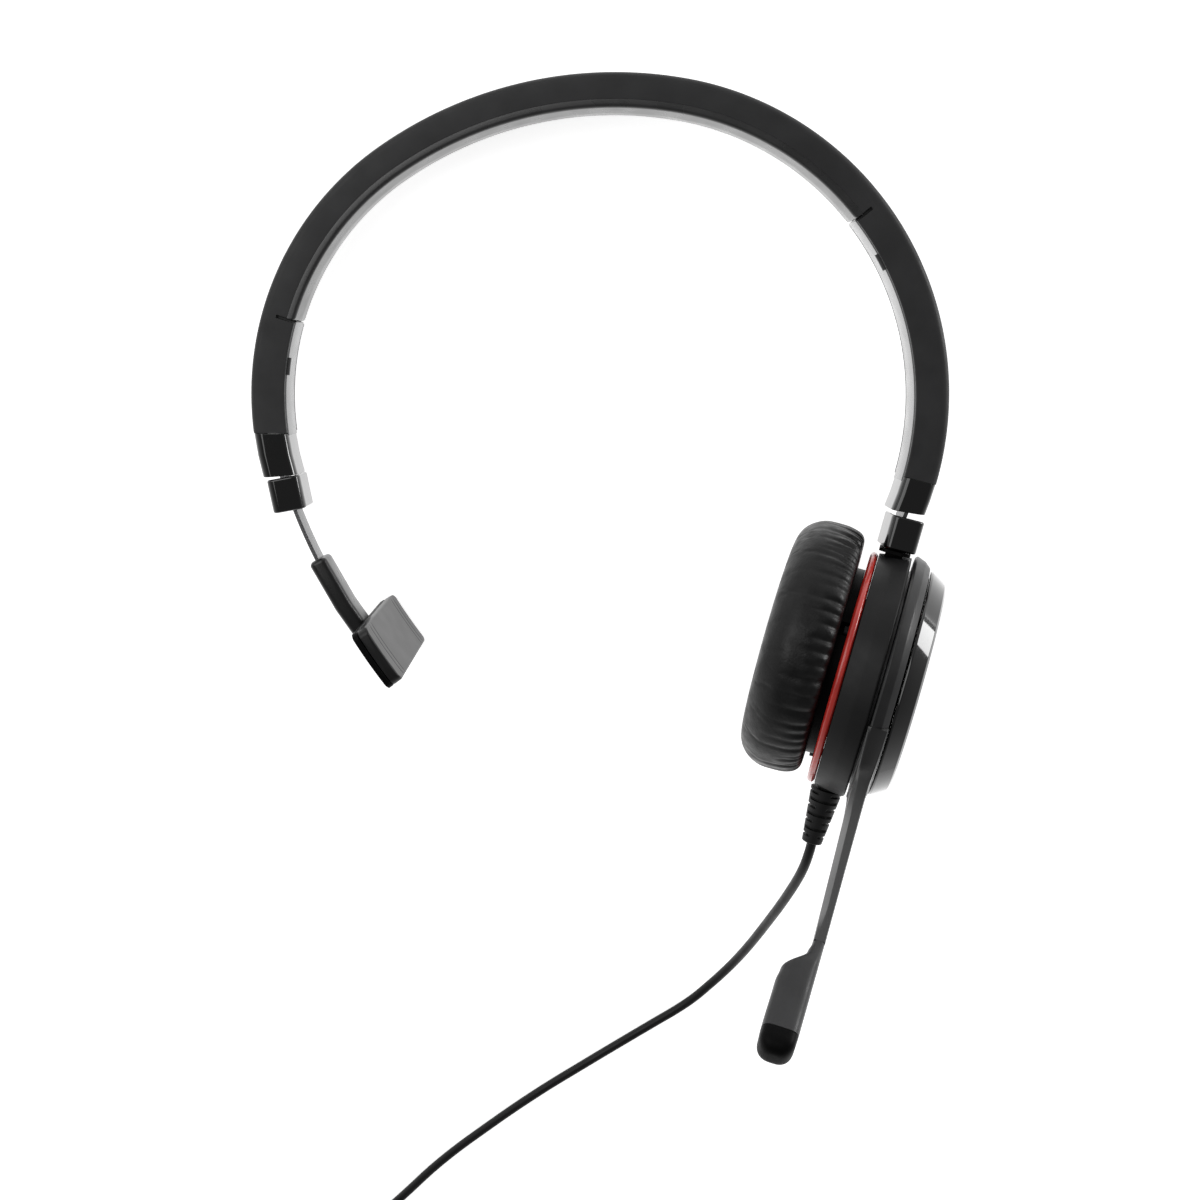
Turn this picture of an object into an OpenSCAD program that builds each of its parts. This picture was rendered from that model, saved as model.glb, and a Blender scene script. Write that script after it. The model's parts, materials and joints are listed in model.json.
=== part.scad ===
// Office headset, single ear cup, boom microphone, temple rest and jack cord.
//
// The headset lies on its side on a table, +Z up. Its parts are drawn in the
// headset's own frame first: X across the head, Y up to the crown, Z from the
// back of the band to its front. on_table() then lays that frame on the table.

/* [Headband] */
// Radius of the crown's outer face
crown_r = 100; // [96:0.5:104]
// Outer radius of the left end of the band
left_r = 72.5; // [71:0.5:74]
// Outer radius of the right end of the band
right_r = 77; // [75:0.5:79]
// Width of the band, front to back
band_w = 14; // [13:0.5:16]
// Thickness of the band
band_t = 8.3; // [8:0.1:9]
// Angle where the crown arc meets the left arc
crown_left_a = 124; // [120:1:128]
// Angle where the crown arc meets the right arc
crown_right_a = 80; // [76:1:84]

/* [Sliders] */
// Width of the steel slider arms, front to back
arm_w = 9; // [8:0.5:9]
// Thickness of the steel slider arms
arm_t = 1; // [0.8:0.1:1]
// Travel of each slider along its arc, in degrees
slide_a = 20; // [16:1:20]
// Length of the end blocks on the slider arms
block_l = 8.3; // [7.5:0.1:8.3]

/* [Ear cup] */
// Radius of the accent ring
ring_r = 30; // [29.5:0.1:30.2]
// Radius of the housing at its outer edge
housing_r = 31.3; // [31:0.1:31.6]
// Radius of the ear cushion
cushion_r = 32.2; // [31:0.1:33]
// Thickness of the ear cushion
cushion_t = 16.9; // [14:0.1:18]
// Radius of the opening in the ear cushion
cushion_hole_r = 12.5; // [11:0.5:14]
// How far the cup is swivelled on its stem
cup_yaw = 11.2; // [0:0.1:15]

/* [Boom] */
// Distance from the cup's axis to the tip of the microphone
boom_l = 110; // [104:1:116]
// How far the boom is swung forward from straight down
boom_turn = 50; // [0:1:90]

/* [Temple rest] */
// Length of the temple pad, front to back
pad_l = 53.4; // [46:0.1:56]
// Width of the temple pad
pad_w = 15.2; // [14:0.1:17]

/* [Cord] */
// Diameter of the cord
cord_d = 2.6; // [2.4:0.1:2.8]
// Radius of the jack plug's pin
pin_r = 1.75; // [1.75:0.01:1.75]

/* [Hidden] */
$fn = 96;

// How the headset lies on the table.
lay_crown = 9.9;
lay_side = 3.9;
table_shift = [-1.95, -27.28, 29.24];

// Centres of the band's three arcs, which run into one another without a kink.
crown_c = [3.5, 26.3];
left_c = crown_c + (crown_r - left_r) * [cos(crown_left_a), sin(crown_left_a)];
right_c = crown_c + (crown_r - right_r) * [cos(crown_right_a), sin(crown_right_a)];

// Angles on the end arcs.
left_band_end = 186;
left_ferrule_end = 195;
right_band_end = -14.8;
right_ferrule_end = -21.3;
pad_left_a = 162.5;
pad_right_a = 39;
arm_inside_a = slide_a + 9;

// Walls of the band's channel, and its round corners.
channel_wall = 1.5;
channel_floor = 1.6;
band_corner_r = 2.4;
core_w = band_w - 2 * channel_wall - 0.1;
spring_w = band_w - 4;

// Depths below the band's outer face.
arm_depth = 4.3;
spring_depth = [1.75, 2.45];
core_depth = 2.6;
pad_depth = 6.3;
slot_gap = 0.35;

// Leaf springs that hold the slider arms.
detent_w = 4;
detent_t = 0.28;
right_detent_a = [-12, -6];
left_detent_a = [177, 183];

// End blocks.
stem_tilt = 14.4;
left_block_c = [-76.6, 27.0];
left_block_tilt = 10.5;
right_block_c = [74.6, 17.0];
block_w = 8.2;
block_depth = 13.4;
block_corner_r = 2.2;
block_edge_r = 0.7;
right_grip_a = 3.4;
left_grip_a = 3.2;
socket_spare = 0.1;
socket_end_a = 0.2;

// Screws that hold the baffle plate to the housing.
screw_r = 0.9;
screw_at = 22.6;

// Radius of the sphere that the diaphragm's dome is cut from.
dome_r = 54;

// Swivel neck, measured in the cup's frame.
stem_x = 4.6;
stem_y = 32.3;
tilt_y = 26;
stub_r = 2.6;
stub_l = 4.3;

// Boom, measured in its own frame: x along the cup's axis, distances from it.
mic_root_l = 80.5;
tip_l = 5.9;
head_w = 8.6;
capsule_x = 8.5;
capsule_r = 2.2;

// Temple rest.
temple_r = 128;
temple_c = [45.6, 65.9];
strip_t = 1;
strip_w = 7;
strip_a = [198, 215];
sleeve_t = 4.5;
sleeve_w = 9.6;
sleeve_a = [205.6, 217.2];
pad_c = [-52.6, -9.8];
pad_a = -56.1;
pad_curve_r = 130;
pad_corner_r = 2;
plate_y = [-2.1, -0.6];
rubber_y = [-0.5, 2];

// Cord, from the strain relief down to the table and along it to the coil.
cord_route = [
    [52.6, -86.3, 43.3], [52, -89.5, 43.6], [51.4, -93, 43.1], [50.8, -97, 41.5],
    [50, -102, 38.5], [49, -108, 34.2], [47.7, -115, 29], [46.4, -122, 23.4],
    [44.7, -129.5, 17.8], [42.6, -137, 12.6], [40, -144, 8.2], [36.8, -150.2, 5],
    [33, -155.8, 2.8], [28.8, -160.6, 1.7], [24, -164.5, 1.3], [18.5, -168.1, 1.3],
    [8, -175, 1.3], [-4, -183, 1.3], [-16, -191.2, 1.3], [-31, -202.6, 1.3],
    [-46, -215.2, 1.3], [-58.5, -228, 1.3], [-68.5, -237.7, 1.5], [-78.7, -247.3, 1.7]
];

// Coil: two layers of turns side by side, held by a tie.
coil_c = [-64, -262];
coil_r = 15.6;
coil_turns = 5;
coil_base = 0.4;

// Plug, lying on the table beside the coil.
plug_at = [-52, -282.8, 4];
plug_r = 4;
plug_body_l = 19;
plug_relief_l = 9;
plug_pin_l = 14;
plug_route = [
    [-64, -282.8, 4.3], [-60, -282.8, 4.3], [-56, -282.8, 4.1], [-51.5, -282.8, 4]
];

// ---------------------------------------------------------------- frames

module on_table() {
    translate(table_shift)
        rotate([-lay_crown, 0, 0])
            rotate([0, -lay_side, 0])
                children();
}

// Cup frame: x along the cup's axis away from the head, y up its stem.
module at_cup() {
    stem = right_block_c - block_l / 2 * [sin(stem_tilt), cos(stem_tilt)];
    on_table()
        translate([stem.x, stem.y, 0])
            rotate([0, 0, -stem_tilt])
                rotate([0, -cup_yaw, 0])
                    translate([-stem_x, -stem_y, 0])
                        children();
}

// Boom frame: the boom runs along -y.
module at_boom() {
    at_cup() rotate([-boom_turn, 0, 0]) children();
}

module at_block(c, tilt) {
    on_table() translate([c.x, c.y, 0]) rotate([0, 0, tilt]) children();
}

// Pad frame: x across the pad, y towards the head.
module at_pad() {
    on_table() translate([pad_c.x, pad_c.y, 0]) rotate([0, 0, pad_a]) children();
}

// ---------------------------------------------------------------- tools

// Revolves a profile of [radius, height along the cup's axis].
module turned() {
    rotate([0, 90, 0]) rotate_extrude() children();
}

module ring(r_in, r_out, x0, x1) {
    turned() translate([r_in, x0]) square([r_out - r_in, x1 - x0]);
}

module disc(r, x0, x1) {
    translate([x0, 0, 0]) rotate([0, 90, 0]) cylinder(r=r, h=x1 - x0);
}

// Rectangle with round corners, centred.
module rounded(w, h, r) {
    square([w - 2 * r, h], center=true);
    square([w, h - 2 * r], center=true);
    for (x = [-1, 1], y = [-1, 1])
        translate([x * (w / 2 - r), y * (h / 2 - r)]) circle(r=r);
}

// The same outline as one polygon, with straight facets round each corner.
module rounded_facets(w, h, r) {
    polygon([
        for (q = [0 : 3], k = [0 : 5])
            let (a = q * 90 + k * 18, sx = q == 0 || q == 3 ? 1 : -1, sy = q < 2 ? 1 : -1)
                [sx * (w / 2 - r) + r * cos(a), sy * (h / 2 - r) + r * sin(a)]
    ]);
}

// Sweeps a profile of [radius, z] about a centre, from angle a0 to a1.
module arc_sweep(c, a0, a1) {
    translate([c.x, c.y, 0])
        rotate_extrude(start=a0, angle=a1 - a0)
            children();
}

// Sweeps a profile along the band. Its x is minus the depth below the outer face.
module along_band(left_a, right_a) {
    arc_sweep(left_c, crown_left_a, left_a) translate([left_r, 0]) children();
    arc_sweep(crown_c, crown_right_a, crown_left_a) translate([crown_r, 0]) children();
    arc_sweep(right_c, right_a, crown_right_a) translate([right_r, 0]) children();
}

// Rectangle between two depths, with a given width.
module layer(d0, d1, w) {
    translate([-d1, -w / 2]) square([d1 - d0, w]);
}

module band_outline() {
    translate([-band_t / 2, 0]) rounded_facets(band_t, band_w, band_corner_r);
}

// Box along the cup's own axes, given by its low and high corners.
module box(lo, hi) {
    translate(lo) cube(hi - lo);
}

// ---------------------------------------------------------------- headband

// Channel with a round back, open on its inner side and deep to a given depth.
module channel(depth) {
    half = band_w / 2;
    inside = half - channel_wall;
    r = band_corner_r;
    polygon(concat(
        [for (k = [0 : 5]) [-r + r * cos(k * 18), half - r + r * sin(k * 18)]],
        [[-depth, half], [-depth, inside], [-channel_floor, inside]],
        [[-channel_floor, -inside], [-depth, -inside], [-depth, -half]],
        [for (k = [5 : -1 : 0]) [-r + r * cos(k * 18), r - half - r * sin(k * 18)]]
    ));
}

module band_cover() {
    color("#2e2e30") on_table() {
        arc_sweep(left_c, pad_left_a, left_band_end) translate([left_r, 0]) channel(band_t);
        along_band(pad_left_a, pad_right_a) channel(pad_depth);
        arc_sweep(right_c, right_band_end, pad_right_a) translate([right_r, 0]) channel(band_t);
    }
}

module band_core() {
    color("#3a3a3c") on_table() {
        difference() {
            core_end(left_c, left_r, pad_left_a, left_band_end);
            arm_slot(left_c, left_r, left_band_end + 2, left_ferrule_end - arm_inside_a - 2);
        }
        along_band(pad_left_a, pad_right_a) layer(core_depth, pad_depth, core_w);
        difference() {
            core_end(right_c, right_r, right_band_end, pad_right_a);
            arm_slot(right_c, right_r, right_band_end - 2, right_ferrule_end + arm_inside_a + 2);
        }
    }
}

module core_end(c, r, a0, a1) {
    arc_sweep(c, a0, a1) translate([r, 0]) layer(core_depth, band_t - 0.1, core_w);
}

// Slot that a slider arm runs in.
module arm_slot(c, r, a_mouth, a_in) {
    arc_sweep(c, min(a_mouth, a_in), max(a_mouth, a_in))
        translate([r, 0])
            layer(arm_depth - arm_t / 2 - slot_gap, arm_depth + arm_t / 2 + slot_gap,
                  arm_w + 2 * slot_gap);
}

module band_spring() {
    color("#9a9ca0") on_table()
        along_band(left_band_end - 2, right_band_end + 2)
            layer(spring_depth[0], spring_depth[1], spring_w);
}

module crown_pad() {
    color("#262627") on_table()
        along_band(pad_left_a - 0.3, pad_right_a + 0.3)
            translate([-pad_depth - 1.15, 0]) rounded_facets(2.1, band_w - 0.3, 0.9);
}

module ferrule(c, r, a_band, a_end) {
    arc_sweep(c, min(a_band, a_end), max(a_band, a_end))
        translate([r, 0])
            difference() {
                band_outline();
                layer(arm_depth - arm_t / 2 - slot_gap, arm_depth + arm_t / 2 + slot_gap,
                      arm_w + 2 * slot_gap);
            }
}

module right_ferrule() {
    color("#151516") on_table() ferrule(right_c, right_r, right_band_end, right_ferrule_end);
}

module left_ferrule() {
    color("#151516") on_table() ferrule(left_c, left_r, left_band_end, left_ferrule_end);
}

// Leaf spring that rubs on a slider arm and holds its setting.
module detent(c, r, a) {
    under_arm = arm_depth + arm_t / 2 + 0.02;
    arc_sweep(c, a[0], a[1])
        translate([r, 0])
            layer(under_arm, under_arm + detent_t, detent_w);
}

module right_detent() {
    color("#b8babd") on_table() detent(right_c, right_r, right_detent_a);
}

module left_detent() {
    color("#b8babd") on_table() detent(left_c, left_r, left_detent_a);
}

// ---------------------------------------------------------------- sliders

module slider_arm(c, r, a0, a1, spare=0) {
    arc_sweep(c, a0, a1)
        translate([r - arm_depth, 0])
            square([arm_t + 2 * spare, arm_w + 2 * spare], center=true);
}

module right_arm() {
    color("#a4a6aa") on_table()
        slider_arm(right_c, right_r, right_ferrule_end - right_grip_a,
                   right_ferrule_end + arm_inside_a);
}

module left_arm() {
    color("#a4a6aa") on_table()
        slider_arm(left_c, left_r, left_ferrule_end - arm_inside_a,
                   left_ferrule_end + left_grip_a);
}

module block_body() {
    intersection() {
        linear_extrude(block_depth, center=true) rounded(block_w, block_l, block_edge_r);
        rotate([-90, 0, 0])
            linear_extrude(block_l + 2, center=true)
                rounded(block_w, block_depth, block_corner_r);
    }
}

module right_block() {
    color("#141415") difference() {
        at_block(right_block_c, -stem_tilt) block_body();
        on_table()
            slider_arm(right_c, right_r, right_ferrule_end - right_grip_a - socket_end_a,
                       right_ferrule_end, socket_spare);
        at_block(right_block_c, -stem_tilt)
            translate([0, -block_l / 2 - 1, 0])
                rotate([-90, 0, 0]) cylinder(r=stub_r + socket_spare, h=stub_l + 0.9);
    }
}

module left_block() {
    color("#141415") difference() {
        at_block(left_block_c, left_block_tilt) block_body();
        on_table()
            slider_arm(left_c, left_r, left_ferrule_end,
                       left_ferrule_end + left_grip_a + socket_end_a, socket_spare);
        on_table() strip_sweep(strip_a[0] - 0.1, strip_a[0] + 3.5, socket_spare);
    }
}

// ---------------------------------------------------------------- temple rest

// The flat steel strip along the temple arm's arc, or with spare the slot for it.
module strip_sweep(a0, a1, spare=0) {
    arc_sweep(temple_c, a0, a1)
        translate([temple_r, 0])
            square([strip_t + 2 * spare, strip_w + 2 * spare], center=true);
}

module temple_strip() {
    color("#b4b6ba") on_table() strip_sweep(strip_a[0], strip_a[1]);
}

module temple_sleeve() {
    color("#1c1c1d") difference() {
        on_table()
            arc_sweep(temple_c, sleeve_a[0], sleeve_a[1])
                translate([temple_r, 0]) rounded(sleeve_t, sleeve_w, 1.6);
        on_table() strip_sweep(sleeve_a[0] - 1, strip_a[1] + 0.2, socket_spare);
        at_pad()
            translate([-pad_w / 2 - 0.5, plate_y[0] - 0.1, -sleeve_w])
                cube([pad_w + 1, 10, 2 * sleeve_w]);
    }
}

// Slab of the pad between two heights, curved about a line along the depth.
module pad_slab(y0, y1) {
    half_a = (pad_w / 2 + 1) / pad_curve_r * 180 / PI;
    translate([0, pad_curve_r, -pad_l / 2 - 1])
        rotate([0, 0, -90 - half_a])
            rotate_extrude(angle=2 * half_a)
                translate([pad_curve_r - y1, 0]) square([y1 - y0, pad_l + 2]);
}

module pad_solid(y0, y1) {
    intersection() {
        pad_slab(y0, y1);
        rotate([-90, 0, 0])
            linear_extrude(20, center=true) rounded(pad_w, pad_l, pad_corner_r);
    }
}

module temple_plate() {
    color("#1a1a1b") at_pad() pad_solid(plate_y[0], plate_y[1]);
}

module temple_pad() {
    color("#4c4c4e") at_pad() pad_solid(rubber_y[0], rubber_y[1]);
}

// ---------------------------------------------------------------- ear cup

module at_screws() {
    for (k = [0 : 2]) rotate([k * 120 + 60, 0, 0]) translate([0, screw_at, 0]) children();
}

module housing_shell() {
    color("#2f2f31") at_cup() {
        difference() {
            turned() polygon([
                [28.5, 1.1], [ring_r, 1.1], [housing_r, 8.7], [housing_r - 0.4, 9.1],
                [24.7, 9.1], [24.7, 14.2], [23.2, 14.2], [23.2, 7.6], [29.6, 7.6]
            ]);
            box([1.6, 24, -5.4], [7.6, 34, 5.4]);
            box([1.0, 30.5, -7], [9.2, 34, 7]);
            translate([stem_x, -26, 0]) rotate([90, 0, 0]) cylinder(r=2.3, h=8);
        }
        difference() {
            for (z = [-1, 1])
                box([stem_x - 2, tilt_y - 2, z * 4.3 - 0.9], [7.7, tilt_y + 2, z * 4.3 + 0.9]);
            pin_hole();
        }
        at_screws() difference() {
            disc(2, 0.5, 8);
            disc(screw_r + 0.05, 0, 5.6);
        }
    }
}

module pin_hole(spare=0) {
    translate([stem_x, tilt_y, -7]) cylinder(r=1 + spare, h=14);
}

module tilt_pin() {
    color("#616164") at_cup() translate([stem_x, tilt_y, -5.2]) cylinder(r=1, h=10.4);
}

module accent_ring() {
    color("#b3261c") at_cup() turned() {
        translate([27.2, -1]) square([ring_r - 1 - 27.2, 2]);
        translate([ring_r - 1, 0]) circle(r=1);
    }
}

module baffle_plate() {
    color("#222223") at_cup() difference() {
        disc(27, -1, 0.4);
        for (row = [1, 2], k = [0 : row * 6 - 1])
            rotate([k * 60 / row, 0, 0]) translate([-2, row * 4, 0])
                rotate([0, 90, 0]) cylinder(r=1, h=4);
        at_screws() disc(screw_r + 0.1, -2, 2);
    }
}

module baffle_screws() {
    color("#616164") at_cup() at_screws() {
        disc(screw_r, -1, 5);
        disc(1.7, -2, -1);
    }
}

module cushion_mount() {
    color("#1d1d1e") at_cup() difference() {
        translate([0, 1, 0]) ring(14, 24, -3.1, -1.1);
        at_screws() disc(2.5, -4, 0);
    }
}

module ear_cushion() {
    w = cushion_r - cushion_hole_r;
    color("#1b1b1c") at_cup()
        translate([0, 2.5, 0]) turned()
            translate([cushion_hole_r + w / 2, -3.15 - cushion_t / 2])
                rounded(w, cushion_t, 6.5);
}

module speaker_cloth() {
    color("#101011") at_cup() translate([0, 2, 0]) disc(cushion_hole_r - 1, -5, -4);
}

module driver_diaphragm() {
    color("#c9b98a") at_cup() {
        ring(8, 15, 0.8, 1.1);
        intersection() {
            translate([0.5 + dome_r, 0, 0]) sphere(r=dome_r);
            disc(8.1, 0.5, 1.1);
        }
    }
}

module driver_basket() {
    color("#3d3f42") at_cup() turned() polygon([
        [15.4, 0.5], [18, 0.5], [18, 2.4], [13, 4.8], [8.6, 4.8], [8.6, 3.9], [12.6, 3.9], [15.4, 1.9]
    ]);
}

module driver_magnet() {
    color("#7d7f83") at_cup() difference() {
        union() {
            disc(9.5, 4.9, 6.9);
            disc(7.5, 2.2, 4.9);
        }
        disc(2, 2, 7);
    }
}

module circuit_board() {
    color("#1f6b3a") at_cup() {
        difference() {
            disc(21, 8.2, 9.2);
            disc(2, 8, 10);
        }
        box([9.2, -4, -4], [10.2, 4, 4]);
        box([9.2, 8, -6], [10.6, 12, 0]);
        box([9.2, -12, 3], [11, -8, 9]);
    }
}

module friction_washer() {
    color("#55575a") at_cup() ring(25.1, 27.6, 9.15, 9.7);
}

module outer_cap() {
    color("#0e0e0f") at_cup() turned() polygon([
        [0, 17.8], [0, 19.3], [26, 19.3], [26.8, 18.8], [29.1, 15.1], [29, 14.5],
        [27.4, 14.5], [25.2, 17.8], [23, 17.8], [23, 12], [21.4, 12], [21.4, 17.8]
    ]);
}

module strain_relief() {
    color("#1a1a1b") at_cup() translate([stem_x, 0, 0]) rotate([90, 0, 0]) {
        rotate_extrude() polygon(concat(
            [[0, 27.2], [3.5, 27.2], [3.5, 28.4], [2.2, 28.4], [2.2, 31.4]],
            [for (k = [0 : 5]) let (y = 31.4 + k * 2, r = 3.7 - k * 0.27) each
                [[r, y], [r - 0.1, y + 1.3], [r - 0.8, y + 1.4], [r - 0.8, y + 1.9]]],
            [[2.2, 43.4], [2.1, 44.6], [0, 44.6]]));
    }
}

// ---------------------------------------------------------------- swivel neck

module swivel_neck() {
    color("#161617") at_cup() translate([stem_x, 0, 0]) {
        difference() {
            box([-2.2, tilt_y - 1.8, -3], [2.2, 31.3, 3]);
            translate([0, tilt_y, -4]) cylinder(r=1.1, h=8);
        }
        translate([0, 31.55, 0]) rotate([-90, 0, 0])
            linear_extrude(0.8, center=true) rounded(7.8, 12, 2.2);
        translate([0, 31.6, 0]) rotate([-90, 0, 0]) cylinder(r=stub_r, h=stub_l);
    }
}

// ---------------------------------------------------------------- boom

module boom_ring() {
    color("#454547") at_cup() turned() polygon([
        [25, 9.9], [31.3, 9.9], [31.8, 10.4], [31, 12.6], [29.7, 14.1], [25, 14.1]
    ]);
}

// Thickness of the boom along the cup's axis, at distances from that axis.
boom_front = [
    [9.3, -28], [9.6, -38], [10.1, -mic_root_l], [12.8, -mic_root_l], [13.3, -38], [13.6, -28]
];
// Half-width of the boom in the plane of its ring.
boom_side = [[15, -28], [9, -33], [5.4, -40], [3.6, -50], [3, -62], [2.6, -mic_root_l]];

module boom_arm() {
    color("#4b4b4d") at_boom() intersection() {
        linear_extrude(40, center=true) polygon(boom_front);
        difference() {
            rotate([0, 90, 0]) linear_extrude(20)
                polygon(concat(
                    [for (p = boom_side) p],
                    [for (k = [len(boom_side) - 1 : -1 : 0]) [-boom_side[k].x, boom_side[k].y]]));
            disc(31.85, 5, 20);
        }
    }
}

module mic_outline() {
    polygon([
        [10.1, -mic_root_l], [9.2, -83.4], [6.4, -85], [5, -87.5], [4.8, -boom_l + tip_l],
        [12.2, -boom_l + tip_l], [12.8, -mic_root_l]
    ]);
}

module mic_housing() {
    color("#4b4b4d") at_boom() difference() {
        intersection() {
            linear_extrude(20, center=true) mic_outline();
            rotate([0, 90, 0]) linear_extrude(20) mic_side();
        }
        translate([capsule_x, -92, 0]) rotate([90, 0, 0]) cylinder(r=capsule_r + 0.2, h=20);
    }
}

// Outline of the microphone in the plane of the boom ring.
module mic_side() {
    polygon([
        [2.6, -mic_root_l], [head_w / 2 - 0.6, -84.5], [head_w / 2, -87], [head_w / 2, -boom_l + 3],
        [head_w / 2 - 1.8, -boom_l], [-head_w / 2 + 1.8, -boom_l], [-head_w / 2, -boom_l + 3],
        [-head_w / 2, -87], [-head_w / 2 + 0.6, -84.5], [-2.6, -mic_root_l]
    ]);
}

module mic_capsule() {
    color("#a08a52") at_boom() translate([capsule_x, -94, 0]) rotate([90, 0, 0]) cylinder(r=capsule_r, h=5);
}

module mic_tip() {
    color("#0c0c0d") at_boom() difference() {
        intersection() {
            linear_extrude(20, center=true) polygon([
                [4.8, -boom_l + tip_l - 0.1], [4.6, -boom_l + 3], [5.6, -boom_l + 0.8],
                [7, -boom_l], [10.4, -boom_l], [11.4, -boom_l + 1], [12.1, -boom_l + tip_l - 0.1]
            ]);
            rotate([0, 90, 0]) linear_extrude(20) mic_side();
        }
        translate([capsule_x, -99, 0]) rotate([90, 0, 0]) cylinder(r=1, h=7);
    }
}

// ---------------------------------------------------------------- cord and plug

// Direction of the route at point i, and a frame across it that never twists much.
function along(route, i) =
    let (a = route[max(i - 1, 0)], b = route[min(i + 1, len(route) - 1)]) (b - a) / norm(b - a);
function across(d) = let (c = cross(d, [0, 0, 1])) c / norm(c);

// Eight-sided tube along a route.
module tube(route, r) {
    last = len(route) - 1;
    points = [
        for (i = [0 : last])
            let (d = along(route, i), u = across(d), v = cross(d, u))
                for (k = [0 : 7]) route[i] + r * (cos(k * 45) * u + sin(k * 45) * v)
    ];
    sides = [
        for (i = [0 : last - 1], k = [0 : 7])
            let (a = i * 8 + k, b = i * 8 + (k + 1) % 8) [a, b, b + 8, a + 8]
    ];
    ends = [[for (k = [7 : -1 : 0]) k], [for (k = [0 : 7]) last * 8 + k]];
    polyhedron(points=points, faces=concat(sides, ends), convexity=4);
}

module cord_tube() {
    color("#2c2c2e") {
        tube(cord_route, cord_d / 2);
        tube(plug_route, cord_d / 2);
    }
}

module coil_section(spare=0) {
    w = coil_turns * cord_d + 2 * spare;
    translate([coil_r - w / 2, coil_base - spare]) square([w, 2 * cord_d + 2 * spare]);
}

module cord_coil() {
    color("#2c2c2e") translate([coil_c.x, coil_c.y, 0]) rotate_extrude() coil_section();
}

module coil_tie() {
    color("#171718") arc_sweep(coil_c, 172, 188) difference() {
        coil_section(coil_base);
        coil_section();
    }
}

module plug_sleeve() {
    color("#1a1a1b") translate(plug_at) rotate([0, 90, 0]) rotate_extrude() polygon(concat(
        [[0, 0], [2, 0]],
        [for (k = [0 : 3]) let (z = 0.8 + k * 2, r = 2.3 + k * 0.25) each
            [[r, z], [r + 0.1, z + 1.2], [r - 0.35, z + 1.3], [r - 0.35, z + 1.8]]],
        [[3.2, plug_relief_l], [plug_r, plug_relief_l + 1.5]],
        [[plug_r, plug_relief_l + plug_body_l - 1], [plug_r - 1, plug_relief_l + plug_body_l]],
        [[0, plug_relief_l + plug_body_l]]));
}

module plug_ring_profile(spare=0) {
    for (z = [4.2, 7, 9.8]) translate([pin_r - 0.3, z]) square([0.3 + spare, 0.7]);
}

module at_plug_pin() {
    translate(plug_at + [plug_relief_l + plug_body_l, 0, 0]) rotate([0, 90, 0]) children();
}

module plug_pin() {
    color("#c8a75a") at_plug_pin() rotate_extrude() difference() {
        polygon([
            [0, 0], [pin_r, 0], [pin_r, 11.2], [1.25, 11.8], [1.7, 12.6], [0.6, plug_pin_l],
            [0, plug_pin_l]
        ]);
        plug_ring_profile(1);
    }
}

module plug_rings() {
    color("#111112") at_plug_pin() rotate_extrude() plug_ring_profile();
}

housing_shell();
accent_ring();
baffle_plate();
cushion_mount();
ear_cushion();
speaker_cloth();
driver_diaphragm();
driver_basket();
driver_magnet();
circuit_board();
friction_washer();
outer_cap();
baffle_screws();
strain_relief();
boom_ring();
boom_arm();
mic_housing();
mic_capsule();
mic_tip();
swivel_neck();
tilt_pin();
right_block();
right_arm();
band_cover();
band_core();
band_spring();
crown_pad();
right_ferrule();
left_ferrule();
right_detent();
left_detent();
left_arm();
left_block();
temple_strip();
temple_sleeve();
temple_plate();
temple_pad();
cord_tube();
cord_coil();
coil_tie();
plug_sleeve();
plug_pin();
plug_rings();
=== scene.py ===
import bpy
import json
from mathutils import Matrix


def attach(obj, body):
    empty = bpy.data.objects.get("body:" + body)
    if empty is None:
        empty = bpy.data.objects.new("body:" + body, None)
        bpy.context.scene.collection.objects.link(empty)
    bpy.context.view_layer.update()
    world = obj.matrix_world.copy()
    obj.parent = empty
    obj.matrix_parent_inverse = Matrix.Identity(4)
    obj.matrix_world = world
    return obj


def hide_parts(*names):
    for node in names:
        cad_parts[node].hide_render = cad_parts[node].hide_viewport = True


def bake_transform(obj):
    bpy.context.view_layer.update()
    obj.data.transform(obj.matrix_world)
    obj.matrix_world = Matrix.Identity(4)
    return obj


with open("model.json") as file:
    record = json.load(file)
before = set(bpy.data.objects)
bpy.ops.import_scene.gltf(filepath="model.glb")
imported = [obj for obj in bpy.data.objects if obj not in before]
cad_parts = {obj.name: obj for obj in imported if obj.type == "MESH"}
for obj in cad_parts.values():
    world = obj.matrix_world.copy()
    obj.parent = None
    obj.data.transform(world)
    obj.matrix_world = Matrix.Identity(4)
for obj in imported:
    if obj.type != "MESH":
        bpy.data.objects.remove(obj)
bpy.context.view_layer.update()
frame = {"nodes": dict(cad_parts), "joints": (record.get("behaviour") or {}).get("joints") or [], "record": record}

# Office headset lying on a table: the looks of every piece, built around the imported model.
# Lengths below are in millimetres, measured in the headset's own frame (X across the head,
# Y up to the crown, Z towards the front of the band) unless a line says otherwise.
import json
import math
import random

import bmesh
import bpy
from mathutils import Matrix, Vector

MM = 0.001
TAU = 2 * math.pi

# ------------------------------------------------------------------ sizes

# The band is three arcs: a crown, and a left and a right end that join it at two angles.
CROWN_C = Vector((3.5, 26.3))
CROWN_R = 100.0
CROWN_LEFT_A = 124.0
CROWN_RIGHT_A = 80.0
LEFT_R = 72.5
RIGHT_R = 77.0
# Its section, and the angles at which its cover and its end caps end.
BAND_W = 14.0
BAND_T = 8.3
BAND_CORNER_R = 2.4
COVER_WALL = 1.5
LEFT_BAND_END = 186.0
LEFT_FERRULE_END = 195.0
RIGHT_BAND_END = -14.8
RIGHT_FERRULE_END = -21.3
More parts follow.
